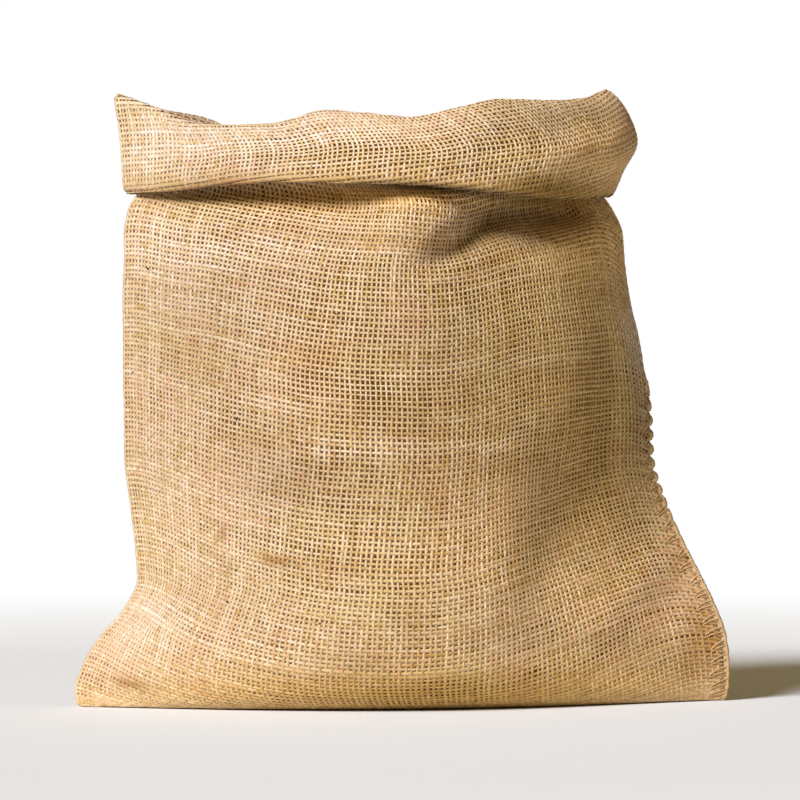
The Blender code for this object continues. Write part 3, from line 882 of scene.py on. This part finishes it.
def place_piece(mesh, material):
    """Makes a finished mesh a piece of the sack that rides on its body and stands in for its cloth."""
    mesh.materials.append(material)
    piece = add_object(mesh.name, mesh)
    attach(piece, "root")
    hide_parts(SACK_NODE)
    return piece


# -----------------------------------------------------------------------------------------------------------
# Materials

# Noise: its scale to the metre or to the fibre map's unit, its detail and its roughness; and how many streaks
# lie round a yarn and to a ring of it
STREAKS = (1.0, 3.0, 0.6)
PATCHES = (46.0, 4.0, 0.68)
SPECKS = (260.0, 2.0, 0.6)
HOLE_SHADE_NOISE = (900.0, 2.0, 0.7)
TWINE_PATCHES = (220.0, 3.0, 0.6)
STREAK_SPREAD = (9.0, 2.2, 1.0)

# Jute between its dark and its pale colour: the middle, and how much the marks and the noises move it; how
# much the patches turn its hue, how much hue tints it, the most of each tint, and how much of a stain takes,
# plain and by the specks
LIGHTNESS = {"middle": 0.55, "tone": 0.2, "streaks": 1.3, "specks": 0.5}
HUE_PATCHES = 6.0
TINT = 0.38
MOST_ROSY = 0.7
MOST_GOLDEN = 0.6
STAIN_PLAIN = 0.35
STAIN_SPECKS = 1.1

# Twine: its plies, and the part of a turn that they make from one point of its path to the next
PLIES = 2
TWINE_TWIST = 0.55

HOLE_SHADE_LIFT = 1.9  # how much lighter the painted hole shade's pale streaks are than its dark brown
FLOOR_FADE_START = 0.45
FLOOR_FADE_LENGTH = 0.9


def math_operator(operation, swapped=False):
    """A method that joins a wire and a second wire or number in a Math node, swapped for a reflected form."""
    def join(wire, other):
        first, second = (other, wire) if swapped else (wire, other)
        return wire.board.node("ShaderNodeMath", {"operation": operation}, {0: first, 1: second})
    return join


class Wire:
    """A shader socket in a sum: Python's operators on it add Math nodes."""

    def __init__(self, board, socket):
        self.board = board
        self.socket = socket

    __add__ = __radd__ = math_operator("ADD")
    __sub__ = math_operator("SUBTRACT")
    __rsub__ = math_operator("SUBTRACT", swapped=True)
    __mul__ = __rmul__ = math_operator("MULTIPLY")
    __truediv__ = math_operator("DIVIDE")

    def clamped(self):
        return self.board.node("ShaderNodeClamp", {}, {"Value": self})


def opaque(colour):
    """A colour with its alpha of one; a wire stays as it is."""
    return colour if isinstance(colour, Wire) else (*colour, 1.0)


class Board:
    """The node tree of a material or of the world, cleared."""

    def __init__(self, owner):
        self.owner = owner
        owner.use_nodes = True
        self.tree = owner.node_tree
        self.tree.nodes.clear()

    def node(self, kind, settings, sockets, output=0):
        """Adds a node: its settings first, then the values or wires of its sockets; returns one output."""
        made = self.tree.nodes.new(kind)
        for key, value in settings.items():
            setattr(made, key, value)
        for key, value in sockets.items():
            if isinstance(value, Wire):
                self.tree.links.new(value.socket, made.inputs[key])
            else:
                made.inputs[key].default_value = value
        return Wire(self, made.outputs[output]) if made.outputs else None

    def mix(self, factor, first, second):
        """A colour between two colours."""
        sockets = {0: factor, 6: opaque(first), 7: opaque(second)}
        return self.node("ShaderNodeMix", {"data_type": "RGBA", "clamp_factor": True}, sockets, output=2)

    def times(self, colour, factor):
        return self.node("ShaderNodeVectorMath", {"operation": "MULTIPLY"}, {0: colour, 1: factor})

    def place(self):
        """The place on the piece, in its own coordinates."""
        return self.node("ShaderNodeTexCoord", {}, {}, output=3)

    def fibre_map(self):
        return self.node("ShaderNodeUVMap", {"uv_map": "fibre"}, {})

    def noise(self, place, scale, detail, roughness, dimensions="3D"):
        sockets = {"Vector": place, "Scale": scale, "Detail": detail, "Roughness": roughness}
        return self.node("ShaderNodeTexNoise", {"noise_dimensions": dimensions}, sockets)

    def bump(self, height, strength, distance):
        return self.node("ShaderNodeBump", {}, {"Height": height, "Strength": strength, "Distance": distance})

    def attribute(self, name):
        return self.node("ShaderNodeAttribute", {"attribute_name": name}, {}, output=2)

    def shaded(self, colour):
        """The colour times (shade, shade (1 - 0.25 warmth), shade (1 - warmth)), by the mesh's painted light
        marks.
        """
        shade, warmth = self.attribute("shade"), self.attribute("warmth")
        parts = {0: shade, 1: shade * (1.0 - 0.25 * warmth), 2: shade * (1.0 - warmth)}
        return self.times(colour, self.node("ShaderNodeCombineXYZ", {}, parts))

    def surface(self, sockets):
        """Ends a material's tree; returns the material."""
        shader = self.node("ShaderNodeBsdfPrincipled", {}, sockets)
        self.node("ShaderNodeOutputMaterial", {}, {"Surface": shader})
        return self.owner


def jute_material(name, colours):
    """Jute yarn: pale and dark fibres along the twist, yarns of unlike tone, tinted patches, stains, painted
    light.
    """
    board = Board(bpy.data.materials.new(name))
    streaks = board.noise(board.times(board.fibre_map(), STREAK_SPREAD), *STREAKS, dimensions="2D")
    place = board.place()
    patches = board.noise(place, *PATCHES)
    specks = board.noise(place, *SPECKS)
    tone, stain = board.attribute("tone"), board.attribute("stain")
    hue = board.attribute("hue") + HUE_PATCHES * (patches - 0.5)
    lightness = LIGHTNESS["middle"] + LIGHTNESS["tone"] * tone + LIGHTNESS["streaks"] * (streaks - 0.5)
    lightness = lightness + LIGHTNESS["specks"] * (specks - 0.5)
    rosy = (hue * TINT).clamped() * MOST_ROSY
    golden = (hue * -TINT).clamped() * MOST_GOLDEN
    stained = (stain * (STAIN_PLAIN + STAIN_SPECKS * specks)).clamped()
    colour = board.mix(lightness.clamped(), colours.jute_dark, colours.jute_light)
    colour = board.mix(rosy, colour, colours.jute_rosy)
    colour = board.mix(golden, colour, colours.jute_golden)
    colour = board.mix(stained, colour, colours.stain)
    return board.surface({
        "Base Color": board.shaded(colour), "Roughness": 0.92 - 0.2 * streaks,
        "Normal": board.bump(streaks, 0.5, 0.0002), "Specular IOR Level": 0.3,
        "Sheen Weight": 0.2, "Sheen Roughness": 0.45,
    })


def hole_shade_material(colours):
    """The dark between the yarns, painted shade in the holes: brown, lighter in streaks of fine noise."""
    board = Board(bpy.data.materials.new("painted_hole_shade"))
    # The noise that lightens the painted hole shade in fine streaks
    fibres = board.noise(board.place(), *HOLE_SHADE_NOISE)
    light = [min(1.0, HOLE_SHADE_LIFT * part) for part in colours.ground]
    colour = board.mix(((fibres - 0.35) * 2.0).clamped(), colours.ground, light)
    return board.surface({"Base Color": colour, "Roughness": 1.0, "Specular IOR Level": 0.0})


def twine_material(name, light, dark):
    """Twisted twine: shade and height are sines of the turn round it plus the way along it; painted groove
    shade.
    """
    board = Board(bpy.data.materials.new(name))
    split = board.node("ShaderNodeSeparateXYZ", {}, {0: board.fibre_map()}).socket.node
    around, along = (Wire(board, part) for part in split.outputs[:2])
    turn = (around + TWINE_TWIST * along) * (2.0 * np.pi * PLIES)
    ply = 0.5 + 0.5 * board.node("ShaderNodeMath", {"operation": "SINE"}, {0: turn})
    patches = board.noise(board.place(), *TWINE_PATCHES)
    # Painted shade: darker where the bump sinks between the plies, varied by random patches
    shade = (0.25 + 0.5 * ply + 1.2 * (patches - 0.5)).clamped()
    colour = board.shaded(board.mix(shade, dark, light))
    return board.surface({
        "Base Color": colour, "Roughness": 0.9, "Normal": board.bump(ply, 0.6, 0.0004),
        "Specular IOR Level": 0.25,
    })


def floor_material(colours):
    """Pale floor that fades out towards its rim."""
    board = Board(bpy.data.materials.new("studio_floor"))
    distance = board.node("ShaderNodeVectorMath", {"operation": "LENGTH"}, {0: board.place()}, output=1)
    fade = ((distance - FLOOR_FADE_START) / FLOOR_FADE_LENGTH).clamped()
    return board.surface({"Base Color": opaque(colours.floor), "Roughness": 0.9, "Alpha": 1.0 - fade})


# -----------------------------------------------------------------------------------------------------------
# Settings

def length_setting(name, description, default):
    return bpy.props.FloatProperty(name=name, description=description, default=default, unit="LENGTH")


def colour_setting(name, description, default):
    return bpy.props.FloatVectorProperty(name=name, description=description, default=default, subtype="COLOR")


class SackWeave(bpy.types.PropertyGroup):
    warps_per_panel: bpy.props.IntProperty(
        name="Warps Per Panel", description="Yarns that run up each panel", default=131, min=20)
    row_pitch: length_setting("Row Pitch", "From one row to the next", 0.0025)
    yarn_width: length_setting("Yarn Width", "Across a yarn, along the cloth", 0.00164)
    yarn_height: length_setting("Yarn Height", "Through a yarn, across the cloth", 0.00056)
    crimp: length_setting("Crimp", "How far a yarn swings to each side of the cloth's middle", 0.00011)
    unevenness: bpy.props.FloatProperty(
        name="Unevenness", description="How much the yarns' width varies", default=0.16, subtype="FACTOR")
    wander: length_setting("Wander", "How far the yarns stray from straight rows", 0.00013)
    loose_fibres: bpy.props.IntProperty(
        name="Loose Fibres", description="Short fibres that stand off the cloth", default=2400, min=0)
    seed: bpy.props.IntProperty(name="Seed", description="Picks the random yarns", default=11)


class SackColours(bpy.types.PropertyGroup):
    jute_light: colour_setting("Pale Jute", "Pale fibres", (0.82, 0.655, 0.475))
    jute_dark: colour_setting("Dark Jute", "Dark fibres", (0.49, 0.285, 0.07))
    jute_rosy: colour_setting("Rosy Jute", "Patches with a rosy tint", (0.70, 0.44, 0.27))
    jute_golden: colour_setting("Golden Jute", "Patches with a golden tint", (0.66, 0.49, 0.21))
    stain: colour_setting("Stain", "Orange-brown stains", (0.41, 0.215, 0.055))
    bark: colour_setting("Bark", "Bits of bark in the yarns", (0.14, 0.08, 0.035))
    # The dark brown of the sheet that closes the holes, a painted shade; the bark's dark side too
    ground: colour_setting("Ground", "Fine fibre between the yarns", (0.075, 0.032, 0.006))
    twine_light: colour_setting("Pale Twine", "Pale side of the sewing twine", (0.88, 0.70, 0.46))
    twine_dark: colour_setting("Dark Twine", "Dark side of the sewing twine", (0.42, 0.23, 0.09))
    floor: colour_setting("Floor", "The studio floor", (0.87, 0.92, 1.0))


class SackStudio(bpy.types.PropertyGroup):
    key_strength: bpy.props.FloatProperty(
        name="Key Light", description="Strength of the key light", default=4.4)
    key_softness: bpy.props.FloatProperty(
        name="Key Softness", description="Angle that the key light fills", default=0.35, subtype="ANGLE")
    ambient: bpy.props.FloatProperty(name="Ambient", description="Light from all round", default=0.215)
    ambient_colour: colour_setting("Ambient Colour", "Tint of the light from all round", (1.0, 0.74, 0.36))
    lens: bpy.props.FloatProperty(name="Lens", description="Focal length in millimetres", default=174.5)


# -----------------------------------------------------------------------------------------------------------
# Steps

CAMERA_PLACE = (0.0, -1.9, 0.13)
CAMERA_TARGET = (-0.00245, 0.0, 0.1485)
SENSOR_WIDTH = 36.0
KEY_DIRECTION = (0.56, 0.66, -0.51)
KEY_COLOUR = (1.0, 0.98, 0.98)
WHITE = (1.0, 1.0, 1.0)
FLOOR_RADIUS = 1.4
FLOOR_CORNERS = 64


def aim(thing, direction):
    """Turns a light's or camera's view along the direction."""
    thing.rotation_euler = Vector(direction).to_track_quat("-Z", "Y").to_euler()


def weave_yarns(scene, kind, names, closed):
    """Weaves all yarns of one kind, the first half of them as one piece and the rest as the other."""
    material = jute_material("jute_" + kind + "s", scene.sack_colours)
    grids = Crossings(scene.sack_weave).yarns(kind, scene.sack_weave)
    count = len(grids[0])
    for name, first, last in zip(names, (0, count // 2), (count // 2, count)):
        part = (grid[first:last] for grid in grids)
        place_piece(yarn_mesh(name, *part, closed=closed), material)


class SACK_OT_warps(bpy.types.Operator):
    """Weave the warps, the yarns that run from the bottom seam up, over the rim and down the cuff"""
    bl_idname = "sack.warps"
    bl_label = "Weave Warps"

    def execute(self, context):
        weave_yarns(context.scene, "warp", YARN_PIECES[:2], closed=False)
        return {"FINISHED"}


class SACK_OT_wefts(bpy.types.Operator):
    """Weave the wefts, the rows that run round the sack"""
    bl_idname = "sack.wefts"
    bl_label = "Weave Wefts"

    def execute(self, context):
        weave_yarns(context.scene, "weft", YARN_PIECES[2:], closed=True)
        return {"FINISHED"}


class SACK_OT_seam(bpy.types.Operator):
    """Overcast the side seam with jute twine"""
    bl_idname = "sack.seam"
    bl_label = "Sew Side Seam"

    def execute(self, context):
        weave = context.scene.sack_weave
        colours = context.scene.sack_colours
        paths = np.stack([self.path(weave, side * SEAM["apart"]) for side in (-0.5, 0.5)])
        radii = np.full(paths.shape[:2], SEAM["radius"])
        mesh = strand_mesh("seam_twine", paths, radii, np.array((0.15, 0.0, 1.0)), TWINE_SIDES)
        place_piece(mesh, twine_material("jute_twine", colours.twine_light, colours.twine_dark))
        self.roll_edge(weave, colours)
        return {"FINISHED"}

    def roll_edge(self, weave, colours):
        """Yarns round the rolled edge: middle plus reach times (cos turn, sin turn), less at a stitch."""
        value = np.arange(SEAM["first"], SEAM["last"] + 2.0 * SEAM["pitch"], EDGE["step"])
        columns = ClothColumns(np.ones(1), 0.5 / weave.warps_per_panel)
        middle, normals, beside = columns.read(value[None])[:3]
        middle[..., 0] -= edge_pull(1.0, value) + EDGE["inset"]
        shift = np.arange(EDGE["yarns"])[:, None] / EDGE["yarns"]
        turn = 2.0 * np.pi * (value[None] / EDGE["turn"] + shift)
        fade = np.clip((value[-1] - value) / SEAM["pitch"], 0.05, 1.0)
        reach = (EDGE["reach"] * (1.0 - 0.5 * stitch_nearness(value)) * fade)[..., None]
        paths = middle + reach * (normals * np.cos(turn)[..., None] + beside * np.sin(turn)[..., None])
        radii = EDGE["radius"] * fade + 0.0 * turn
        mesh = strand_mesh("seam_edge", paths, radii, np.array((0.0, 0.3, 1.0)), EDGE_SIDES)
        place_piece(mesh, twine_material("jute_edge", colours.jute_light, colours.jute_dark))

    def path(self, weave, apart):
        """A strand's middle: place = edge plus inset, length of cloth = stitch start plus climb, lifted off.

        The strand lies apart from the twine's middle by the given length, less near its holes and high up the
        seam. Every stitch starts and reaches a little off its even place.
        """
        rng = np.random.default_rng(weave.seed + 1)
        starts = np.arange(SEAM["first"], SEAM["last"], SEAM["pitch"])
        starts = starts + rng.uniform(*STITCH_SHIFT, starts.shape)
        stitch = np.array(STITCH)
        phase = np.linspace(0.0, 1.0, STITCH_POINTS, endpoint=False)
        inset, rise, lift = smooth(phase, stitch[:, 0], stitch[:, 1:]).T
        share = ((starts - starts[0]) / (starts[-1] - starts[0]))[:, None]
        loop = 1.0 + inset * (seam_inset(share) * rng.uniform(*STITCH_REACH, share.shape)) / MEAN_PANEL
        ends = np.append(starts[1:], starts[-1] + SEAM["pitch"])[:, None]
        aside = apart * np.sqrt(np.sin(np.pi * phase)) * (1.0 - STRANDS_CLOSER * share)
        value = starts[:, None] + (ends - starts[:, None]) * rise + aside
        columns = ClothColumns(loop.ravel(), 0.5 / weave.warps_per_panel)
        points, normals = columns.read(value.reshape(-1, 1))[:2]
        points = points[:, 0] + normals[:, 0] * np.tile(lift, len(starts))[:, None]
        points[:, 0] -= edge_pull(loop.ravel(), value.ravel())
        return points


class SACK_OT_fibres(bpy.types.Operator):
    """Strew loose fibres over the cloth"""
    bl_idname = "sack.fibres"
    bl_label = "Strew Loose Fibres"

    def execute(self, context):
        weave = context.scene.sack_weave
        colours = context.scene.sack_colours
        cloth = Crossings(weave)
        self.strew(cloth, weave, twine_material("jute_fibre", colours.jute_light, colours.jute_golden))
        self.spin_in_bark(cloth, twine_material("jute_bark", colours.bark, colours.ground))
        return {"FINISHED"}

    def strew(self, cloth, weave, material):
        """Fibres from random crossings, bent aside by the square of the way and risen off the cloth."""
        rng = np.random.default_rng(weave.seed + 2)
        columns, rows = np.nonzero(cloth.there)
        pick = rng.choice(len(columns), weave.loose_fibres, replace=False)
        at = (columns[pick], rows[pick])
        normals = cloth.normals[at]
        spin = rng.uniform(0.0, 2.0 * np.pi, len(pick))[:, None]
        flat = cloth.beside[at] * np.cos(spin) + cloth.up[at] * np.sin(spin)
        aside = np.cross(normals, flat) * rng.uniform(-1.0, 1.0, (len(pick), 1))
        length = rng.uniform(*FIBRE_LENGTH, (len(pick), 1, 1))
        rise = rng.uniform(*FIBRE_RISE, (len(pick), 1, 1))
        along = np.linspace(0.0, 1.0, FIBRE_POINTS)[None, :, None]
        paths = cloth.points[at][:, None] + length * along * flat[:, None]
        paths = paths + 0.5 * length * along ** 2 * aside[:, None]
        paths = paths + normals[:, None] * (FIBRE_START + rise * length * along * (1.3 - along))
        radii = FIBRE_RADIUS * (1.0 - 0.7 * along[..., 0]) + 0.0 * length[..., 0]
        reference = np.broadcast_to(unit(aside + normals * 0.3)[:, None], paths.shape)
        place_piece(strand_mesh("loose_fibres", paths, radii, reference, FIBRE_SIDES), material)

    def spin_in_bark(self, cloth, material):
        """Spindles of radius times (1 - 0.9 along squared), each turned like the crossing nearest to it."""
        x, z, length, lean, radius = np.array(FLECKS).T[..., None]
        grids = (cloth.points, cloth.normals, cloth.beside, cloth.up)
        candidates = [grid[cloth.front_body] for grid in grids]
        nearest = np.argmin((candidates[0][:, 0] - x) ** 2 + (candidates[0][:, 2] - z) ** 2, axis=1)
        middle, normals, beside, up = (grid[nearest][:, None] for grid in candidates)
        middle[:, 0, 0], middle[:, 0, 2] = x[:, 0], z[:, 0]
        turn = np.radians(lean)[..., None]
        along = np.linspace(-1.0, 1.0, FLECK_POINTS)[None, :, None]
        flat = beside * np.cos(turn) + up * np.sin(turn)
        paths = middle + 0.5 * length[..., None] * along * flat + FLECK_LIFT * normals
        radii = radius * (1.0 - 0.9 * along[..., 0] ** 2)
        reference = np.broadcast_to(normals, paths.shape)
        place_piece(strand_mesh("bark_flecks", paths, radii, reference, FLECK_SIDES), material)


class SACK_OT_hole_shade(bpy.types.Operator):
    """Lay a dark sheet in the cloth's middle, painted shade that closes the holes between the yarns"""
    bl_idname = "sack.ground"
    bl_label = "Lay Cloth Ground"

    def execute(self, context):
        cloth = Crossings(context.scene.sack_weave)
        points = np.concatenate((cloth.seam_line[:, None], cloth.points), axis=1)
        there = np.concatenate((cloth.there[:, :1], cloth.there), axis=1)
        mesh = grid_mesh("hole_shade_sheet", points, there)
        piece = place_piece(mesh, hole_shade_material(context.scene.sack_colours))
        return {"FINISHED"}


class SACK_OT_studio(bpy.types.Operator):
    """Set out the floor, the lights and the camera"""
    bl_idname = "sack.studio"
    bl_label = "Set Up Studio"

    def execute(self, context):
        studio = context.scene.sack_studio
        self.lay_floor(context.scene.sack_colours)
        self.light(context.scene, studio)
        camera = add_object("camera", bpy.data.cameras.new("camera"))
        camera.data.lens = studio.lens
        camera.data.sensor_width = SENSOR_WIDTH
        camera.location = CAMERA_PLACE
        aim(camera, Vector(CAMERA_TARGET) - camera.location)
        context.scene.camera = camera
        context.scene.view_settings.view_transform = "Standard"
        return {"FINISHED"}

    def lay_floor(self, colours):
        """A round floor: one face with its corners at radius times (cos, sin)."""
        turns = np.linspace(0.0, 2.0 * np.pi, FLOOR_CORNERS, endpoint=False)
        rim = np.column_stack((np.cos(turns), np.sin(turns), 0.0 * turns)) * FLOOR_RADIUS
        mesh = bpy.data.meshes.new("floor")
        mesh.from_pydata(rim.tolist(), [], [tuple(range(len(rim)))])
        mesh.materials.append(floor_material(colours))
        floor = add_object("floor", mesh)

    def light(self, scene, studio):
        """A soft sun from the left, the front and above, and a tinted world that itself looks white."""
        sun = bpy.data.lights.new("key", "SUN")
        sun.energy = studio.key_strength
        sun.angle = studio.key_softness
        sun.color = KEY_COLOUR
        aim(add_object("key", sun), KEY_DIRECTION)
        board = Board(bpy.data.worlds.new("studio"))
        seen = board.node("ShaderNodeLightPath", {}, {}, output="Is Camera Ray")
        ambient = [part * studio.ambient for part in studio.ambient_colour]
        background = board.node("ShaderNodeBackground", {}, {"Color": board.mix(seen, ambient, WHITE)})
        board.node("ShaderNodeOutputWorld", {}, {"Surface": background})
        scene.world = board.owner


class SACK_PT_panel(bpy.types.Panel):
    """Lists the steps and their settings"""
    bl_label = "Hessian Sack"
    bl_idname = "SACK_PT_panel"
    bl_space_type = "VIEW_3D"
    bl_region_type = "UI"
    bl_category = "Sack"

    def draw(self, context):
        for step in STEPS:
            self.layout.operator(step.bl_idname)
        for group in SETTINGS:
            settings = getattr(context.scene, group)
            for name in type(settings).__annotations__:
                self.layout.prop(settings, name)


STEPS = (SACK_OT_studio, SACK_OT_warps, SACK_OT_wefts, SACK_OT_hole_shade, SACK_OT_seam, SACK_OT_fibres)
SETTINGS = {"sack_weave": SackWeave, "sack_colours": SackColours, "sack_studio": SackStudio}


def register():
    for cls in (*SETTINGS.values(), *STEPS, SACK_PT_panel):
        bpy.utils.register_class(cls)
    for name, cls in SETTINGS.items():
        setattr(bpy.types.Scene, name, bpy.props.PointerProperty(type=cls))


def unregister():
    for name in SETTINGS:
        delattr(bpy.types.Scene, name)
    for cls in (SACK_PT_panel, *reversed(STEPS), *reversed(SETTINGS.values())):
        bpy.utils.unregister_class(cls)


def main():
    register()
    bpy.ops.sack.studio()
    bpy.ops.sack.warps()
    bpy.ops.sack.wefts()
    bpy.ops.sack.ground()
    bpy.ops.sack.seam()
    bpy.ops.sack.fibres()


if __name__ == "__main__":
    main()
